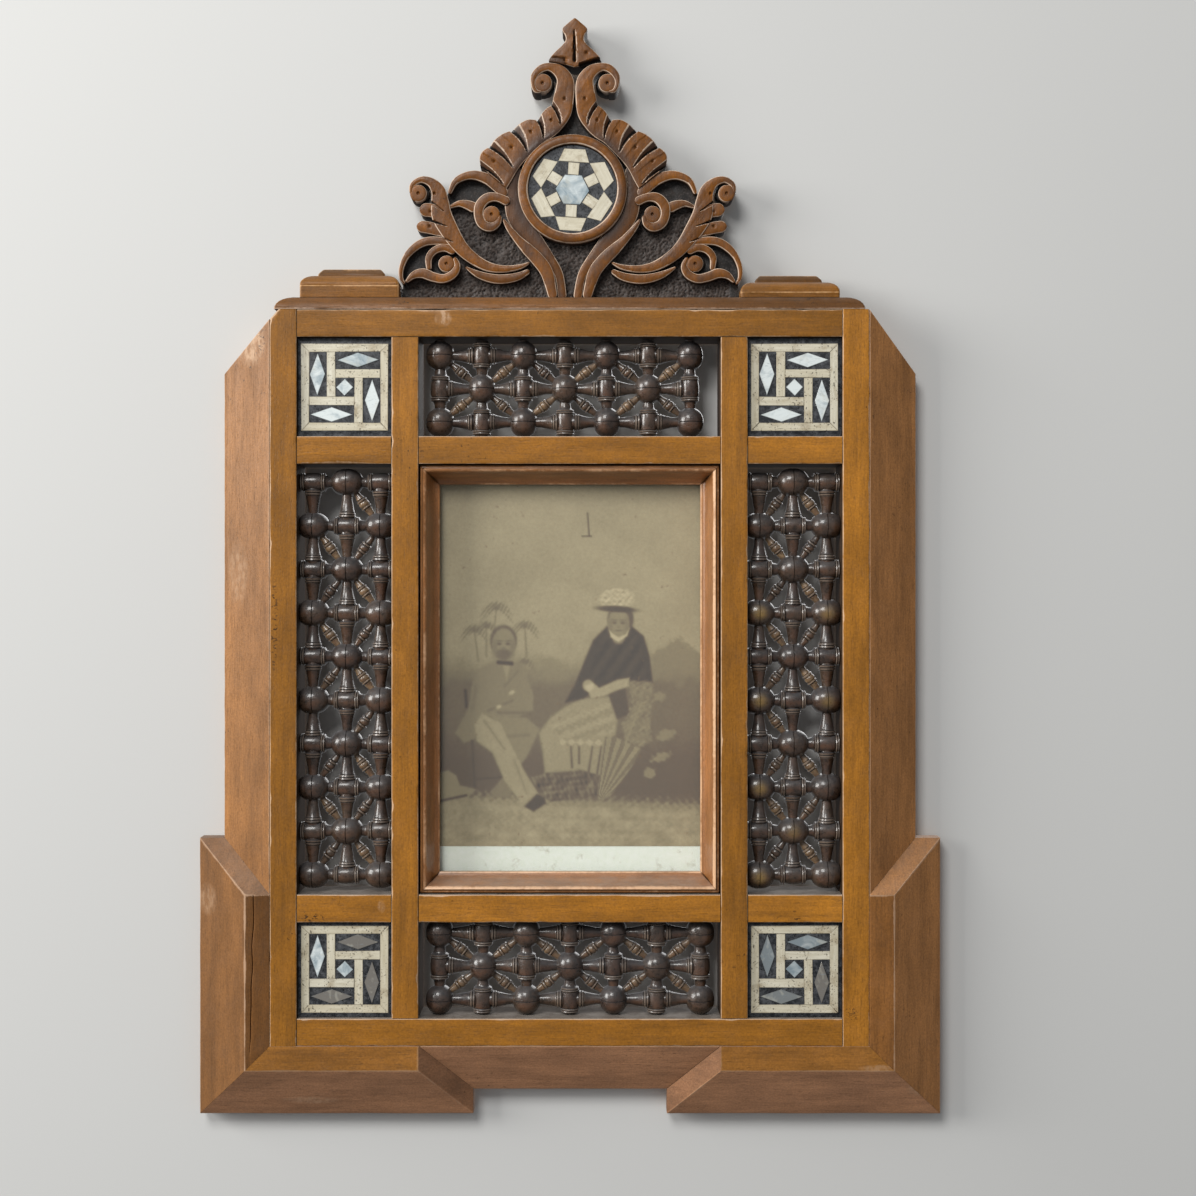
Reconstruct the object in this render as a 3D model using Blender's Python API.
"""Mashrabiya picture frame, in metres, +Z up.

The frame hangs flat on a wall. Its back lies in the plane y = 0 and its front faces -Y.
X = 0 and Z = 0 are the middle of the joinery grid. Every place is worked out from the
named sizes below.
"""

import math

import bmesh
import bpy
import numpy as np
from mathutils import Matrix

# Joinery grid
STILE_WIDTH = 0.0102
RAIL_WIDTH = 0.0105
CENTRE_WIDTH = 0.1150
CENTRE_HEIGHT = 0.1638
SIDE_WIDTH = 0.0361
TOP_HEIGHT = 0.0377
BOTTOM_HEIGHT = 0.0365
FRAME_DEPTH = 0.0200
JOINT_GAP = 0.0003

# Outer mouldings
BEVEL_WIDTH = 0.0200
EDGE_DEPTH = 0.0070
TOP_SLANT = 0.0230
CORNER_STEP = 0.0095

# Cornice and the two blocks on it
CORNICE_HEIGHT = 0.0050
CORNICE_END_INSET = 0.0015
CORNICE_END_ROUND = 0.0079
CORNICE_FRONT_ROUND = 0.0045
BLOCK_END_INSET = 0.0105
BLOCK_CREST_GAP = 0.0007
BLOCK_DEPTH = 0.0150
BLOCK_ROUND = 0.0058
BLOCK_CAP_HEIGHT = 0.0030
BLOCK_CHAMFER = 0.0020
LEFT_BLOCK_HEIGHT = 0.0120
RIGHT_BLOCK_HEIGHT = 0.0095
BLOCK_ROUND_RISE = 0.0045
ROUND_STEPS = 3

# Slip, glass, print and backing board
SLIP_WIDTH = 0.0067
SLIP_SETBACK = 0.0012
SLIP_BEAD = 0.0014
SLIP_SIGHT_DEPTH = 0.0014
SLIP_CLEARANCE = 0.0005
COVE_STEPS = 4
SHEET_CLEARANCE = 0.0010
BOARD_THICKNESS = 0.0040
PRINT_THICKNESS = 0.0010
GLASS_THICKNESS = 0.0020

# Corner tiles
TILE_RECESS = 0.0021
TILE_GROUND_THICKNESS = 0.0080
TILE_INLAY_SIZE = 0.0334
TILE_BORDER = 0.0031
TILE_BAR = 0.0033
TILE_HEART = 0.0073
INLAY_THICKNESS = 0.0012
TILE_DIAMOND = 0.0063

# Lattices
BALL_DIAMETER = 0.0104
SIDE_BALL_LENGTH = 0.0122
BARREL_DIAMETER = 0.0066
BARREL_LENGTH = 0.0066
NECK_DIAMETER = 0.0040
LINK_DIAMETER = 0.0034
LINK_COLLAR_DIAMETER = 0.0058
BALL_SETBACK = 0.0085
END_PITCH = 0.0128
SIDE_PITCH = 0.0130
END_COLUMNS = 7
SIDE_ROWS = 10
TOP_MARGIN = 0.0095
TOP_SHIFT = -0.0019
BOTTOM_MARGIN = 0.0074
SIDE_MARGIN = 0.0065
TURNED_SIDES = 6
LINK_SIDES = 4

# Crest
CREST_HEIGHT = 0.1080
CREST_LEAN = 0.024
CREST_GROUND = 0.0065
CREST_EDGE = 0.0092
CREST_CROWN = 0.0118
CREST_EYE = 0.0112
CREST_BACK_RELIEF = 0.0012
RING_RADIUS = 0.0211
RING_BORE = 0.0174
RING_FRONT = 0.0130
MEDALLION_CENTRE = 0.0419
MEDALLION_FLOOR = 0.0015
MEDALLION_PEARL_RADIUS = 0.0065
MEDALLION_BAR = 0.0042
MEDALLION_STAR_APOTHEM = 0.0111
MEDALLION_STAR_LAP = 0.0003
MEDALLION_OUTER_APOTHEM = 0.0159
MEDALLION_OUTER_EDGE = 0.0076
ROUND_SIDES = 18

# Carving of one half of the crest, in units of a 108th of its height. x runs out from the
# middle, z up from the cornice and w is half the strand's width there.
STEM_OUTER = [(6.3, 1.0, 1.7), (12.0, 14.6, 2.3), (20.0, 23.5, 2.3), (24.6, 31.5, 2.2), (24.4, 41.5, 2.6)]
STEM_INNER = [(2.7, 0.9, 1.6), (5.6, 10.5, 2.0), (12.5, 22.0, 2.0), (18.6, 31.0, 2.2), (21.5, 44.0, 3.0)]
GADROON = [
    (27.6, 44.5, 6.4),
    (27.3, 51.0, 8.2),
    (24.6, 56.3, 8.2),
    (17.6, 63.0, 5.8),
    (8.6, 69.6, 4.5),
    (4.0, 79.0, 3.8),
    (4.6, 86.0, 3.2),
    (9.6, 90.0, 2.0),
    (15.0, 88.4, 1.5),
    (16.4, 83.6, 1.0),
]
FINIAL = [
    (5.2, 90.8, 5.4),
    (4.4, 94.0, 4.7),
    (2.9, 97.6, 3.2),
    (1.8, 101.0, 2.1),
    (2.5, 104.4, 2.8),
    (1.8, 107.6, 2.0),
]
SIDE_STEM = [
    (16.5, 11.4, 1.2),
    (26.0, 11.0, 1.9),
    (36.0, 14.0, 2.5),
    (45.0, 24.0, 3.4),
    (51.0, 34.0, 4.8),
    (52.8, 43.0, 3.2),
    (57.8, 45.6, 1.9),
    (62.2, 42.2, 1.0),
]
SIDE_CRESCENT = [(41.2, 12.4, 0.5), (35.5, 9.0, 1.6), (27.5, 7.2, 1.7), (17.5, 8.4, 1.3)]
LOW_VOLUTE = [
    (64.0, 6.0, 0.6),
    (58.6, 9.6, 1.7),
    (49.4, 7.9, 2.0),
    (44.4, 12.6, 1.8),
    (47.8, 18.2, 1.6),
    (53.6, 17.6, 1.4),
    (55.0, 14.2, 0.9),
]
LOW_HOOK = [(45.4, 20.6, 1.6), (54.4, 22.0, 1.5), (63.0, 17.0, 1.4), (65.8, 10.5, 1.0), (63.9, 4.8, 0.8)]
MIDDLE_VOLUTE = [
    (22.5, 39.0, 2.2),
    (29.5, 39.6, 2.2),
    (35.2, 35.0, 2.6),
    (33.6, 27.9, 2.2),
    (28.0, 28.6, 1.4),
    (27.0, 33.0, 0.8),
]
MIDDLE_LEAF = [(47.2, 36.6, 0.6), (42.6, 37.3, 1.4), (36.0, 34.6, 2.2)]
MIDDLE_HOOK = [(47.4, 38.6, 0.7), (45.0, 44.8, 1.5), (37.6, 48.0, 2.0), (30.0, 44.2, 2.3), (24.5, 38.0, 1.8)]
TOOTH_HIGH = [(49.0, 34.6, 1.4), (56.8, 34.8, 1.9)]
TOOTH_LOW = [(47.0, 27.6, 1.6), (57.6, 28.4, 2.4)]
STRANDS = {
    "stem_outer": STEM_OUTER,
    "stem_inner": STEM_INNER,
    "gadroon": GADROON,
    "finial": FINIAL,
    "side_stem": SIDE_STEM,
    "side_crescent": SIDE_CRESCENT,
    "low_volute": LOW_VOLUTE,
    "low_hook": LOW_HOOK,
    "middle_volute": MIDDLE_VOLUTE,
    "middle_leaf": MIDDLE_LEAF,
    "middle_hook": MIDDLE_HOOK,
    "tooth_high": TOOTH_HIGH,
    "tooth_low": TOOTH_LOW,
}
# Eyes of the volutes: x, z and radius in the same units
EYES = [(12.2, 84.0, 3.3), (59.0, 41.1, 3.1), (49.2, 13.6, 2.5), (31.0, 33.0, 2.6)]
# The board behind the carving, from the middle of its foot round to the middle of its top
GROUND = [
    (62.6, 0.3),
    (64.6, 10.0),
    (61.0, 18.4),
    (57.2, 22.4),
    (57.4, 35.0),
    (61.2, 40.0),
    (58.0, 44.8),
    (52.4, 43.4),
    (47.0, 38.0),
    (44.0, 44.8),
    (37.4, 47.8),
    (31.6, 48.0),
    (26.0, 55.0),
    (16.0, 63.2),
    (7.6, 70.4),
    (8.4, 80.6),
    (14.2, 80.6),
    (16.0, 84.0),
    (14.0, 88.4),
    (4.0, 91.6),
]
STRAND_STEP = 6.2
FINIAL_STEP = 3.6
EYE_SIDES = 6
# How far out the crest's tips reach beside the blocks, in the same units
CREST_TIP_REACH = 64.8

GRID_WIDTH = CENTRE_WIDTH + 2 * SIDE_WIDTH + 4 * STILE_WIDTH
GRID_HEIGHT = CENTRE_HEIGHT + TOP_HEIGHT + BOTTOM_HEIGHT + 4 * RAIL_WIDTH
HALF_WIDTH = GRID_WIDTH / 2
HALF_HEIGHT = GRID_HEIGHT / 2
SIDE_MIDDLE = CENTRE_WIDTH / 2 + STILE_WIDTH + SIDE_WIDTH / 2
CENTRE_TOP = HALF_HEIGHT - 2 * RAIL_WIDTH - TOP_HEIGHT
CENTRE_BOTTOM = CENTRE_TOP - CENTRE_HEIGHT
CENTRE_MIDDLE = (CENTRE_TOP + CENTRE_BOTTOM) / 2
TOP_MIDDLE = HALF_HEIGHT - RAIL_WIDTH - TOP_HEIGHT / 2
BOTTOM_MIDDLE = -HALF_HEIGHT + RAIL_WIDTH + BOTTOM_HEIGHT / 2
CORNICE_TOP = HALF_HEIGHT + JOINT_GAP + CORNICE_HEIGHT
CREST_UNIT = CREST_HEIGHT / 108
CREST_FOOT = CORNICE_TOP + JOINT_GAP
SIDES = {"left": -1, "right": 1}


def clear_scene():
    for old in list(bpy.data.objects):
        bpy.data.objects.remove(old, do_unlink=True)


def new_collection(name):
    collection = bpy.data.collections.new(name)
    bpy.context.scene.collection.children.link(collection)
    return collection


def new_material(name, colour, roughness, alpha=1.0):
    material = bpy.data.materials.new(name)
    material.use_nodes = True
    shader = material.node_tree.nodes["Principled BSDF"]
    shader.inputs["Base Color"].default_value = (*colour, 1.0)
    shader.inputs["Roughness"].default_value = roughness
    shader.inputs["Metallic"].default_value = 0.0
    shader.inputs["Alpha"].default_value = alpha
    return material


clear_scene()
PARTS = new_collection("mashrabiya_picture_frame")
SHAPING = new_collection("shaping_pieces")
GOLDEN_WOOD = (0.33, 0.13, 0.028)
MOULDING_WOOD = (0.36, 0.13, 0.055)
CREST_WOOD = (0.24, 0.075, 0.020)
SLIP_WOOD = (0.12, 0.035, 0.014)
LATTICE_WOOD = (0.060, 0.030, 0.020)
BLACK_MASTIC = (0.012, 0.012, 0.012)
BONE = (0.72, 0.66, 0.50)
PEARL = (0.55, 0.60, 0.62)


def keep(mesh, name, material, collection=None):
    """Makes the object that holds this mesh."""
    item = bpy.data.objects.new(name, mesh)
    item.data.materials.append(material)
    (collection or PARTS).objects.link(item)
    return item


def as_helper(item):
    """Marks an object as one that only shapes others."""
    item.hide_render = True
    item.display_type = "WIRE"
    return item


def mesh_from(bm, name):
    bmesh.ops.recalc_face_normals(bm, faces=bm.faces)
    mesh = bpy.data.meshes.new(name)
    bm.to_mesh(mesh)
    bm.free()
    return mesh


def loft(bm, rings):
    """Closed skin through equal rings of points, capped at both ends. Returns the end loops."""
    loops = [[bm.verts.new(point) for point in ring] for ring in rings]
    count = len(loops[0])
    for lower, upper in zip(loops[:-1], loops[1:]):
        for i in range(count):
            j = (i + 1) % count
            bm.faces.new((lower[i], lower[j], upper[j], upper[i]))
    bm.faces.new(loops[0])
    bm.faces.new(loops[-1])
    return loops[0], loops[-1]


def box(name, x_range, y_range, z_range, material):
    """A plain bar or sheet between the given faces."""
    bm = bmesh.new()
    bmesh.ops.create_cube(bm, size=1.0)
    middle = [(low + high) / 2 for low, high in (x_range, y_range, z_range)]
    size = [abs(high - low) for low, high in (x_range, y_range, z_range)]
    bmesh.ops.scale(bm, vec=size, verts=bm.verts)
    item = keep(mesh_from(bm, name), name, material)
    item.location = middle
    return item


def flat_piece(name, outlines, front, thickness, middle, material):
    """A flat piece facing -Y. The first outline is its edge, the others are holes in it."""
    curve = bpy.data.curves.new(name, "CURVE")
    curve.dimensions = "2D"
    curve.fill_mode = "BOTH"
    curve.extrude = thickness / 2
    for outline in outlines:
        spline = curve.splines.new("POLY")
        spline.points.add(len(outline) - 1)
        for point, (x, z) in zip(spline.points, outline):
            point.co = (x, z, 0.0, 1.0)
        spline.use_cyclic_u = True
    item = keep(curve, name, material)
    item.rotation_euler = (math.pi / 2, 0.0, 0.0)
    item.location = (middle[0], -front + thickness / 2, middle[1])
    return item


def make_grid():
    """Twelve flat bars: four stiles, a top and a bottom rail, and six short rails."""
    gap = JOINT_GAP / 2
    depth = (-FRAME_DEPTH, 0.0)
    for side, sign in SIDES.items():
        outer = (sign * (HALF_WIDTH - STILE_WIDTH), sign * HALF_WIDTH)
        inner = (sign * CENTRE_WIDTH / 2, sign * (CENTRE_WIDTH / 2 + STILE_WIDTH))
        inner_height = (-HALF_HEIGHT + RAIL_WIDTH + gap, HALF_HEIGHT - RAIL_WIDTH - gap)
        box("outer_stile_" + side, outer, depth, (-HALF_HEIGHT, HALF_HEIGHT), GOLDEN_BAR)
        box("inner_stile_" + side, inner, depth, inner_height, GOLDEN_BAR)
    long_run = (-HALF_WIDTH + STILE_WIDTH + JOINT_GAP, HALF_WIDTH - STILE_WIDTH - JOINT_GAP)
    box("top_rail", long_run, depth, (HALF_HEIGHT - RAIL_WIDTH + gap, HALF_HEIGHT), GOLDEN_BAR)
    box("bottom_rail", long_run, depth, (-HALF_HEIGHT, -HALF_HEIGHT + RAIL_WIDTH - gap), GOLDEN_BAR)
    half_side = SIDE_WIDTH / 2 - JOINT_GAP
    half_centre = CENTRE_WIDTH / 2 - JOINT_GAP
    runs = {
        "left": (-SIDE_MIDDLE - half_side, -SIDE_MIDDLE + half_side),
        "centre": (-half_centre, half_centre),
        "right": (SIDE_MIDDLE - half_side, SIDE_MIDDLE + half_side),
    }
    for place, run in runs.items():
        box("upper_rail_" + place, run, depth, (CENTRE_TOP, CENTRE_TOP + RAIL_WIDTH), GOLDEN_BAR)
        box("lower_rail_" + place, run, depth, (CENTRE_BOTTOM - RAIL_WIDTH, CENTRE_BOTTOM), GOLDEN_BAR)


def bevel_section(step):
    """Corners of the outer moulding as (distance out from the grid, depth from the wall).

    A step widens the flat front strip before the slope begins.
    """
    corners = [(JOINT_GAP, 0.0), (JOINT_GAP, EDGE_DEPTH), (JOINT_GAP, FRAME_DEPTH)]
    if step:
        corners.append((step, FRAME_DEPTH))
    return corners + [(step + BEVEL_WIDTH, EDGE_DEPTH), (step + BEVEL_WIDTH, 0.0)]


def return_reach(deep):
    """How far a sloping end reaches beyond its front edge, at this depth from the wall."""
    return BEVEL_WIDTH * min(1.0, (FRAME_DEPTH - deep) / (FRAME_DEPTH - EDGE_DEPTH))


def moulding(name, section, place, start, end):
    """A run of moulding. Its ends are functions of each corner's place in the section.

    Each end is bent at the depth of the thin outer edge, so its cap is parted there.
    """
    bm = bmesh.new()
    rings = [[place(out, deep, cut(out, deep)) for out, deep in section] for cut in (start, end)]
    for loop in loft(bm, rings):
        bmesh.ops.connect_verts(bm, verts=[loop[1], loop[-2]])
    return keep(mesh_from(bm, name), name, MOULDING)


def make_outer_mouldings():
    """Two side runs, four stepped corner runs and one run under the middle."""
    leg_top = CENTRE_BOTTOM
    leg_inner = CENTRE_WIDTH / 2
    gap = JOINT_GAP / 2
    for side, sign in SIDES.items():
        def upright(out, deep, along, sign=sign):
            return (sign * (HALF_WIDTH + out), -deep, along)

        def level(out, deep, along, sign=sign):
            return (sign * along, -deep, -(HALF_HEIGHT + out))

        moulding(
            "side_moulding_" + side,
            bevel_section(0.0),
            upright,
            lambda out, deep: leg_top + return_reach(deep) + JOINT_GAP,
            lambda out, deep: HALF_HEIGHT - TOP_SLANT * out / BEVEL_WIDTH,
        )
        moulding(
            "corner_upright_" + side,
            bevel_section(CORNER_STEP),
            upright,
            lambda out, deep: -HALF_HEIGHT - out + JOINT_GAP,
            lambda out, deep: leg_top + return_reach(deep),
        )
        moulding(
            "corner_foot_" + side,
            bevel_section(CORNER_STEP),
            level,
            lambda out, deep: leg_inner - return_reach(deep),
            lambda out, deep: HALF_WIDTH + out - gap,
        )
    moulding(
        "foot_moulding_centre",
        bevel_section(0.0),
        lambda out, deep, along: (along, -deep, -(HALF_HEIGHT + out)),
        lambda out, deep: -leg_inner + return_reach(deep) + JOINT_GAP,
        lambda out, deep: leg_inner - return_reach(deep) - JOINT_GAP,
    )


def terraced(name, x_range, front, levels, material):
    """A block whose front and ends step in together. Levels are (height, end inset, front inset)."""
    rings = []
    for z, end_inset, front_inset in levels:
        x0, x1 = x_range[0] + end_inset, x_range[1] - end_inset
        y = -front + front_inset
        rings.append([(x0, 0.0, z), (x0, y, z), (x1, y, z), (x1, 0.0, z)])
    bm = bmesh.new()
    loft(bm, rings)
    return keep(mesh_from(bm, name), name, material)


def quarter_round(rise, run):
    """(height, inset) along a convex quarter round, from its foot to its top."""
    turns = [math.pi / 2 * i / ROUND_STEPS for i in range(ROUND_STEPS + 1)]
    return [(rise * math.sin(turn), run * (1 - math.cos(turn))) for turn in turns]


def make_cornice():
    """The thin rounded cornice on the top rail."""
    foot = HALF_HEIGHT + JOINT_GAP
    half = HALF_WIDTH - CORNICE_END_INSET
    share = CORNICE_FRONT_ROUND / CORNICE_END_ROUND
    curve = quarter_round(CORNICE_HEIGHT, CORNICE_END_ROUND)
    levels = [(foot + z, inset, inset * share) for z, inset in curve]
    terraced("cornice", (-half, half), FRAME_DEPTH, levels, CORNICE)


def make_blocks():
    """The two rounded blocks that fill the cornice from the crest's tips to near its ends."""
    heights = {"left": LEFT_BLOCK_HEIGHT, "right": RIGHT_BLOCK_HEIGHT}
    inner = CREST_TIP_REACH * CREST_UNIT + BLOCK_CREST_GAP
    outer = HALF_WIDTH - BLOCK_END_INSET
    for side, sign in SIDES.items():
        foot = CORNICE_TOP + JOINT_GAP
        shoulder = foot + heights[side] - BLOCK_CAP_HEIGHT - BLOCK_ROUND_RISE
        levels = [(foot, 0.0, 0.0)]
        levels += [(shoulder + z, inset, inset) for z, inset in quarter_round(BLOCK_ROUND_RISE, BLOCK_ROUND)]
        top = foot + heights[side]
        levels.append((top - BLOCK_CHAMFER, BLOCK_ROUND, BLOCK_ROUND))
        levels.append((top, BLOCK_ROUND + BLOCK_CHAMFER, BLOCK_ROUND + BLOCK_CHAMFER))
        run = sorted((sign * inner, sign * outer))
        terraced("cornice_block_" + side, run, BLOCK_DEPTH, levels, CORNICE)


def make_picture():
    """Backing board, card-mounted print and glass, in the middle opening."""
    layers = {
        "backing_board": (BOARD_THICKNESS, JOINT_GAP, BOARD),
        "mounted_print": (PRINT_THICKNESS, SHEET_CLEARANCE, PRINT),
        "glass": (GLASS_THICKNESS, SHEET_CLEARANCE, GLASS),
    }
    back = 0.0
    for name, (thickness, clearance, material) in layers.items():
        half = CENTRE_WIDTH / 2 - clearance
        height = (CENTRE_BOTTOM + clearance, CENTRE_TOP - clearance)
        box(name, (-half, half), (-back - thickness, -back), height, material)
        back += thickness + JOINT_GAP
    return back


def slip_section(glass_front):
    """Corners of the slip as (distance in from its outer edge, depth from the wall)."""
    front = FRAME_DEPTH - SLIP_SETBACK
    sight = glass_front + SLIP_SIGHT_DEPTH
    corners = [(0.0, glass_front), (0.0, front), (SLIP_BEAD, front)]
    for i in range(1, COVE_STEPS + 1):
        turn = math.pi / 2 * i / COVE_STEPS
        run = (SLIP_WIDTH - SLIP_BEAD) * (1 - math.cos(turn))
        corners.append((SLIP_BEAD + run, front - (front - sight) * math.sin(turn)))
    return corners + [(SLIP_WIDTH, glass_front)]


def make_slip(glass_front):
    """Four mitred lengths of coved moulding in front of the glass."""
    half_x = CENTRE_WIDTH / 2 - SLIP_CLEARANCE
    half_z = CENTRE_HEIGHT / 2 - SLIP_CLEARANCE
    gap = JOINT_GAP / 2
    section = slip_section(glass_front)
    for name, sign in {"slip_left": -1, "slip_right": 1}.items():
        rings = [
            [(sign * (half_x - u), -deep, CENTRE_MIDDLE + end * (half_z - u - gap)) for u, deep in section]
            for end in (-1, 1)
        ]
        bm = bmesh.new()
        loft(bm, rings)
        keep(mesh_from(bm, name), name, SLIP)
    for name, sign in {"slip_bottom": -1, "slip_top": 1}.items():
        rings = [
            [(end * (half_x - u - gap), -deep, CENTRE_MIDDLE + sign * (half_z - u)) for u, deep in section]
            for end in (-1, 1)
        ]
        bm = bmesh.new()
        loft(bm, rings)
        keep(mesh_from(bm, name), name, SLIP)


def rectangle(x0, x1, z0, z1):
    return [(x0, z0), (x1, z0), (x1, z1), (x0, z1)]


def make_tiles():
    """Four inlaid corner tiles, each with its pinwheel turned the same way."""
    half = TILE_INLAY_SIZE / 2
    field = half - TILE_BORDER
    heart = TILE_HEART / 2
    bar = heart + TILE_BAR
    openings = [
        rectangle(-heart, heart, -heart, heart),
        rectangle(-field, -bar, -heart, field),
        rectangle(-heart, field, bar, field),
        rectangle(bar, field, -field, heart),
        rectangle(-field, heart, -field, -bar),
    ]
    front = FRAME_DEPTH - TILE_RECESS
    ground_front = front - INLAY_THICKNESS - JOINT_GAP
    rows = {"top": (TOP_MIDDLE, TOP_HEIGHT), "bottom": (BOTTOM_MIDDLE, BOTTOM_HEIGHT)}
    for row, (middle_z, height) in rows.items():
        for side, sign in SIDES.items():
            name = row + "_" + side
            middle = (sign * SIDE_MIDDLE, middle_z)
            half_x = SIDE_WIDTH / 2 - JOINT_GAP
            half_z = height / 2 - JOINT_GAP
            box(
                "tile_ground_" + name,
                (middle[0] - half_x, middle[0] + half_x),
                (-ground_front, -ground_front + TILE_GROUND_THICKNESS),
                (middle_z - half_z, middle_z + half_z),
                MASTIC,
            )
            outlines = [rectangle(-half, half, -half, half)] + openings
            flat_piece("tile_bone_" + name, outlines, front, INLAY_THICKNESS, middle, BONE_INLAY)
            reach = TILE_DIAMOND / 2
            diamond = [(reach, 0.0), (0.0, reach), (-reach, 0.0), (0.0, -reach)]
            flat_piece("tile_pearl_" + name, [diamond], front, INLAY_THICKNESS, middle, PEARL_INLAY)


def turned_piece(bm, stations, middle, axis, sides):
    """Adds one turned solid. Stations are (place along the axis, radius)."""
    profile = [(stations[0][0], 0.0), *stations, (stations[-1][0], 0.0)]
    made = []
    for place, radius in profile:
        point = [middle[0], middle[1], middle[2]]
        point[axis] += place
        point[1] -= radius
        made.append(bm.verts.new(point))
    edges = [bm.edges.new(pair) for pair in zip(made[:-1], made[1:])]
    turn_axis = (1.0, 0.0, 0.0) if axis == 0 else (0.0, 0.0, 1.0)
    bmesh.ops.spin(
        bm,
        geom=made + edges,
        cent=middle,
        axis=turn_axis,
        angle=2 * math.pi,
        steps=sides,
        use_merge=True,
    )


def spindle_stations(kinds, pitch, ball_length, reach):
    """Profile of one turned spindle of balls and barrels, cut off flat at its reach."""
    ball, barrel, neck = BALL_DIAMETER / 2, BARREL_DIAMETER / 2, NECK_DIAMETER / 2
    places, radii = [-reach - ball_length], [neck]
    first = -pitch * (len(kinds) - 1) / 2
    for i, kind in enumerate(kinds):
        middle = first + i * pitch
        if kind == "ball":
            shape = [(-0.5, neck), (-0.2, ball), (0.2, ball), (0.5, neck)]
            length = ball_length
        else:
            shape = [(-0.5, barrel), (0.5, barrel)]
            length = BARREL_LENGTH
        places += [middle + share * length for share, _ in shape]
        radii += [radius for _, radius in shape]
    places.append(reach + ball_length)
    radii.append(neck)
    inside = [(place, radius) for place, radius in zip(places, radii) if abs(place) < reach]
    ends = np.interp([-reach, reach], places, radii)
    return [(-reach, float(ends[0])), *inside, (reach, float(ends[1]))]


def link_stations(kinds, places):
    """Profile of one long link: slim inside each ball and wide inside each barrel."""
    slim, wide = LINK_DIAMETER / 2, LINK_COLLAR_DIAMETER / 2
    return [(place, slim if kind == "ball" else wide) for kind, place in zip(kinds, places)]


def make_lattice(name, middle, long_axis, cross_pitch, long_places, ball_length, cross_size, first_kinds):
    """One lattice: turned spindles across the opening, joined by links along it."""
    cross_axis = 2 if long_axis == 0 else 0
    other = {"ball": "barrel", "barrel": "ball"}
    reach = cross_size / 2 - JOINT_GAP
    rows = [first_kinds, [other[kind] for kind in first_kinds]]
    spindles = bmesh.new()
    for i, place in enumerate(long_places):
        centre = [middle[0], -FRAME_DEPTH + BALL_SETBACK, middle[1]]
        centre[long_axis] += place
        stations = spindle_stations(rows[i % 2], cross_pitch, ball_length, reach)
        turned_piece(spindles, stations, centre, cross_axis, TURNED_SIDES)
    bmesh.ops.remove_doubles(spindles, verts=spindles.verts, dist=1e-6)
    panel = keep(mesh_from(spindles, name), name, LATTICE)
    links = bmesh.new()
    for j in range(len(first_kinds)):
        centre = [middle[0], -FRAME_DEPTH + BALL_SETBACK, middle[1]]
        centre[cross_axis] += cross_pitch * (j - (len(first_kinds) - 1) / 2)
        kinds = [rows[i % 2][j] for i in range(len(long_places))]
        turned_piece(links, link_stations(kinds, long_places), centre, long_axis, LINK_SIDES)
    bmesh.ops.remove_doubles(links, verts=links.verts, dist=1e-6)
    helper = as_helper(keep(mesh_from(links, name + "_links"), name + "_links", LATTICE, SHAPING))
    join = panel.modifiers.new("links", "BOOLEAN")
    join.operation = "UNION"
    join.solver = "EXACT"
    join.object = helper
    return panel


def even_places(count, length, margin, shift=0.0):
    """Places of a row of turnings, measured from the opening's middle."""
    pitch = (length - 2 * margin) / (count - 1)
    return [shift + pitch * (i - (count - 1) / 2) for i in range(count)]


def make_lattices():
    """Two lattices of seven spindles each and two of ten."""
    across = ["ball", "barrel", "ball"]
    top = even_places(END_COLUMNS, CENTRE_WIDTH, TOP_MARGIN, TOP_SHIFT)
    bottom = even_places(END_COLUMNS, CENTRE_WIDTH, BOTTOM_MARGIN)
    make_lattice("lattice_top", (0.0, TOP_MIDDLE), 0, END_PITCH, top, BALL_DIAMETER, TOP_HEIGHT, across)
    make_lattice(
        "lattice_bottom", (0.0, BOTTOM_MIDDLE), 0, END_PITCH, bottom, BALL_DIAMETER, BOTTOM_HEIGHT, across
    )
    rows = even_places(SIDE_ROWS, CENTRE_HEIGHT, SIDE_MARGIN)[::-1]
    for side, sign in SIDES.items():
        make_lattice(
            "lattice_" + side,
            (sign * SIDE_MIDDLE, CENTRE_MIDDLE),
            2,
            SIDE_PITCH,
            rows,
            SIDE_BALL_LENGTH,
            SIDE_WIDTH,
            ["barrel", "ball", "barrel"],
        )


def smooth(points, step):
    """Evenly spaced points along a Catmull-Rom curve through the given rows, with their widths."""
    rows = np.array(points, float)
    padded = np.vstack([2 * rows[0] - rows[1], rows, 2 * rows[-1] - rows[-2]])
    fine = []
    for before, here, there, after in zip(padded[:-3], padded[1:-2], padded[2:-1], padded[3:]):
        bend = 2 * before - 5 * here + 4 * there - after
        twist = 3 * here - before - 3 * there + after
        for t in np.linspace(0.0, 1.0, 12, endpoint=False):
            fine.append(here + 0.5 * (there - before) * t + 0.5 * bend * t**2 + 0.5 * twist * t**3)
    fine = np.array([*fine, rows[-1]])
    lengths = np.linalg.norm(np.diff(fine[:, :2], axis=0), axis=1)
    travelled = np.concatenate([[0.0], np.cumsum(lengths)])
    steps = max(1, round(travelled[-1] / step))
    stops = np.linspace(0.0, travelled[-1], steps + 1)
    return np.stack([np.interp(stops, travelled, column) for column in fine.T], axis=1)


def crest_point(x, z, deep, sign):
    """World place of a carving point on one half of the crest."""
    return ((sign * x + CREST_LEAN * z) * CREST_UNIT, -deep, CREST_FOOT + z * CREST_UNIT)


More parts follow.
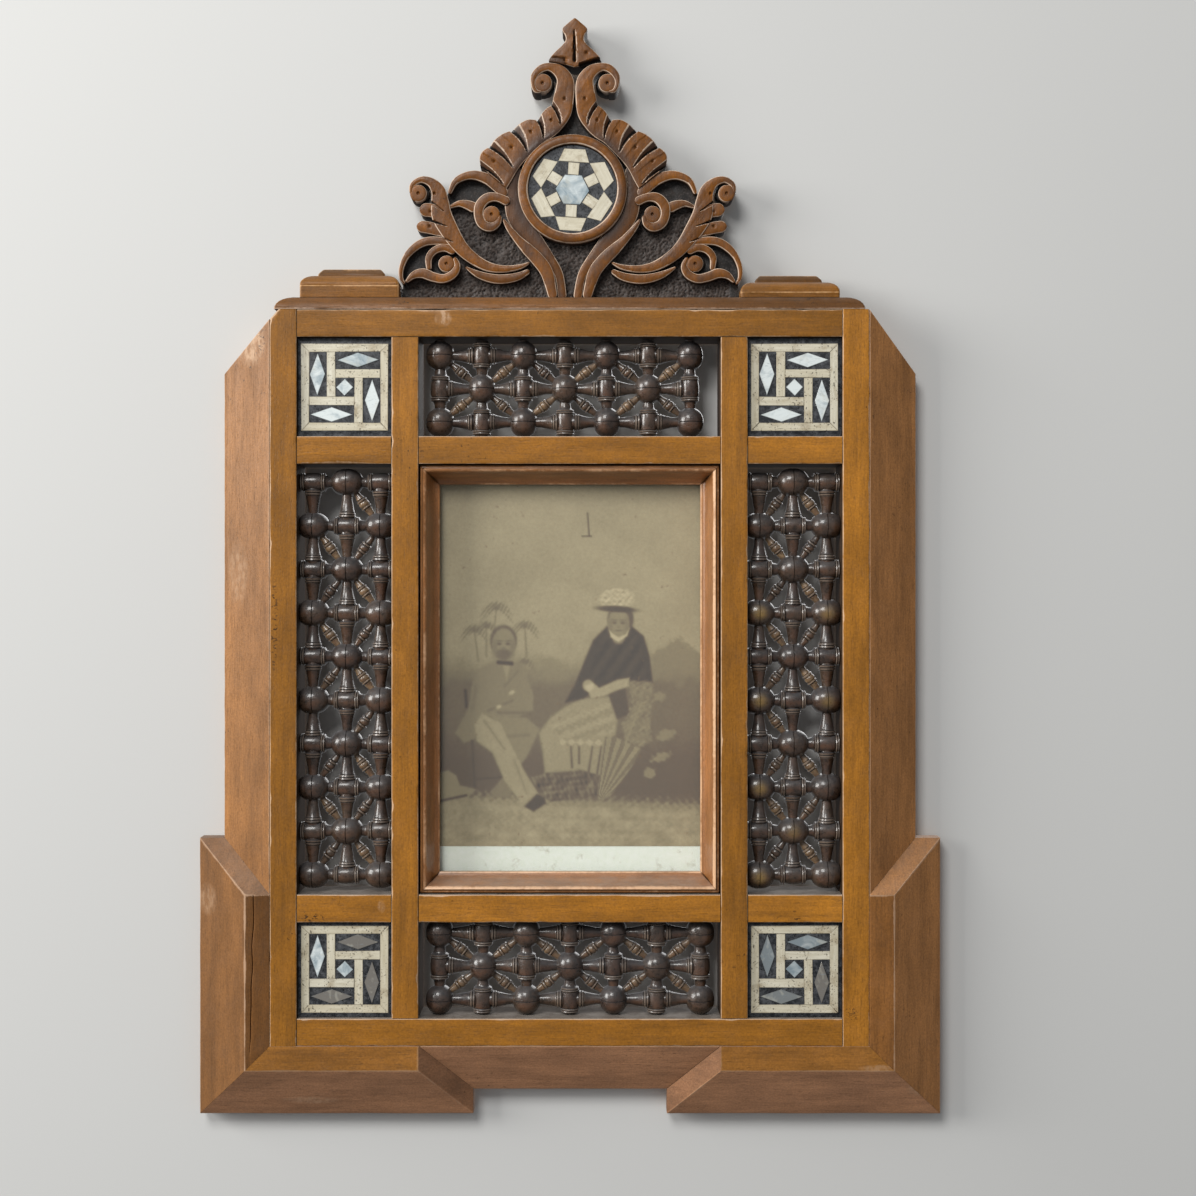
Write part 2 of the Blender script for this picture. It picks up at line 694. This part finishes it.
def strand(bm, points, sign, step):
    """A carved strand: two upright sides and a low ridge along its middle."""
    path = smooth(points, step)
    heading = np.gradient(path[:, :2], axis=0)
    heading /= np.linalg.norm(heading, axis=1)[:, None]
    across = np.stack([-heading[:, 1], heading[:, 0]], axis=1)
    left_side = [(-1, CREST_BACK_RELIEF), (-1, CREST_EDGE)]
    section = [*left_side, (0, CREST_CROWN), (1, CREST_EDGE), (1, CREST_BACK_RELIEF)]
    rings = []
    for (x, z, w), (ax, az) in zip(path, across):
        rings.append([crest_point(x + ax * w * u, z + az * w * u, deep, sign) for u, deep in section])
    loft(bm, rings)


def disc(bm, x, z, radius, back, front, sides):
    """A round boss standing forward from the crest."""
    thickness = front - back
    middle = crest_point(x, z, (front + back) / 2, 1)
    place = Matrix.Translation(middle) @ Matrix.Rotation(math.pi / 2, 4, "X")
    bmesh.ops.create_cone(
        bm, cap_ends=True, segments=sides, radius1=radius, radius2=radius, depth=thickness, matrix=place
    )


def join_all(target, helpers):
    """Unites an object with each helper, one after another."""
    for helper in helpers:
        join = target.modifiers.new(helper.name, "BOOLEAN")
        join.operation = "UNION"
        join.solver = "MANIFOLD"
        join.object = as_helper(helper)


def as_mesh(item):
    """Turns a curve object into a mesh object that a Boolean can use."""
    bpy.context.view_layer.update()
    graph = bpy.context.evaluated_depsgraph_get()
    mesh = bpy.data.meshes.new_from_object(item.evaluated_get(graph))
    bm = bmesh.new()
    bm.from_mesh(mesh)
    bmesh.ops.remove_doubles(bm, verts=bm.verts, dist=1e-6)
    name, place = item.name, item.matrix_world.copy()
    bpy.data.objects.remove(item, do_unlink=True)
    made = keep(mesh_from(bm, name), name, CREST)
    made.matrix_world = place
    return made


def make_crest():
    """The carved crest: ground board, then the strands and eyes of each half."""
    left = [crest_point(x, z, 0.0, -1) for x, z in GROUND]
    right = [crest_point(x, z, 0.0, 1) for x, z in reversed(GROUND)]
    outline = [(x, z) for x, _, z in left + right]
    ground = as_mesh(flat_piece("crest", [outline], CREST_GROUND, CREST_GROUND, (0.0, 0.0), CREST))
    helpers = []
    for side, sign in SIDES.items():
        for name, points in STRANDS.items():
            bm = bmesh.new()
            strand(bm, points, sign, FINIAL_STEP if name == "finial" else STRAND_STEP)
            name = name + "_" + side
            helpers.append(keep(mesh_from(bm, name), name, CREST, SHAPING))
    bm = bmesh.new()
    for x, z, radius in EYES:
        for sign in SIDES.values():
            disc(bm, sign * x, z, radius * CREST_UNIT, CREST_BACK_RELIEF, CREST_EYE, EYE_SIDES)
    helpers.append(keep(mesh_from(bm, "eyes"), "eyes", CREST, SHAPING))
    join_all(ground, helpers)
    return ground


def make_ring(crest):
    """Adds the turned ring to the crest and sinks the medallion's bed inside it."""
    middle = MEDALLION_CENTRE / CREST_UNIT
    bm = bmesh.new()
    disc(bm, 0.0, middle, RING_RADIUS, CREST_BACK_RELIEF, RING_FRONT, ROUND_SIDES)
    ring = keep(mesh_from(bm, "ring"), "ring", CREST, SHAPING)
    join_all(crest, [ring])
    bm = bmesh.new()
    disc(bm, 0.0, middle, RING_BORE, CREST_GROUND, RING_FRONT + MEDALLION_FLOOR, ROUND_SIDES)
    bed = as_helper(keep(mesh_from(bm, "medallion_bed"), "medallion_bed", CREST, SHAPING))
    cut = crest.modifiers.new("medallion_bed", "BOOLEAN")
    cut.operation = "DIFFERENCE"
    cut.solver = "MANIFOLD"
    cut.object = bed


def polar(radius, turn):
    return (radius * math.sin(turn), radius * math.cos(turn))


def side_point(out, across, turn):
    """A point this far out along a side's middle line and this far across it."""
    return (
        out * math.sin(turn) + across * math.cos(turn),
        out * math.cos(turn) - across * math.sin(turn),
    )


def make_medallion():
    """Dark ground, bone star ring with its six bars, and the pearl hexagon."""
    front = RING_FRONT - MEDALLION_FLOOR
    ground_front = front - INLAY_THICKNESS - JOINT_GAP
    ground_back = CREST_GROUND + JOINT_GAP
    middle = (CREST_LEAN * MEDALLION_CENTRE, CREST_FOOT + MEDALLION_CENTRE)
    turns = [math.pi / 3 * i for i in range(6)]
    rim = [polar(RING_BORE - JOINT_GAP, 2 * math.pi * i / ROUND_SIDES) for i in range(ROUND_SIDES)]
    flat_piece("medallion_ground", [rim], ground_front, ground_front - ground_back, middle, MASTIC)
    corner = (MEDALLION_STAR_APOTHEM + MEDALLION_STAR_LAP) / math.cos(math.pi / 6)
    pearl_apothem = MEDALLION_PEARL_RADIUS * math.cos(math.pi / 6)
    edge, bar = MEDALLION_OUTER_EDGE / 2, MEDALLION_BAR / 2
    outer, inner = [], []
    for turn in turns:
        outer += [side_point(MEDALLION_OUTER_APOTHEM, across, turn) for across in (-edge, edge)]
        outer.append(polar(corner, turn + math.pi / 6))
        inner.append(side_point(MEDALLION_STAR_APOTHEM, -bar, turn))
        inner += [side_point(pearl_apothem + JOINT_GAP, across, turn) for across in (-bar, bar)]
        inner.append(side_point(MEDALLION_STAR_APOTHEM, bar, turn))
        inner.append(polar(MEDALLION_STAR_APOTHEM / math.cos(math.pi / 6), turn + math.pi / 6))
    flat_piece("medallion_bone", [outer, inner], front, INLAY_THICKNESS, middle, BONE_INLAY)
    hexagon = [polar(MEDALLION_PEARL_RADIUS, turn + math.pi / 6) for turn in turns]
    flat_piece("medallion_pearl", [hexagon], front, INLAY_THICKNESS, middle, PEARL_INLAY)


GOLDEN_BAR = new_material("golden_wood", GOLDEN_WOOD, 0.45)
MOULDING = new_material("moulding_wood", MOULDING_WOOD, 0.45)
CORNICE = new_material("cornice_wood", CREST_WOOD, 0.45)
CREST = new_material("crest_wood", CREST_WOOD, 0.5)
SLIP = new_material("slip_wood", SLIP_WOOD, 0.4)
LATTICE = new_material("lattice_wood", LATTICE_WOOD, 0.5)
MASTIC = new_material("black_mastic", BLACK_MASTIC, 0.6)
BONE_INLAY = new_material("bone", BONE, 0.45)
PEARL_INLAY = new_material("mother_of_pearl", PEARL, 0.3)
BOARD = new_material("backing_board", (0.20, 0.12, 0.06), 0.8)
PRINT = new_material("sepia_print", (0.36, 0.27, 0.17), 0.6)
GLASS = new_material("glass", (0.9, 0.95, 0.92), 0.05, 0.2)

make_grid()
make_outer_mouldings()
make_cornice()
make_blocks()
make_slip(make_picture())
make_tiles()
make_lattices()
make_ring(make_crest())
make_medallion()
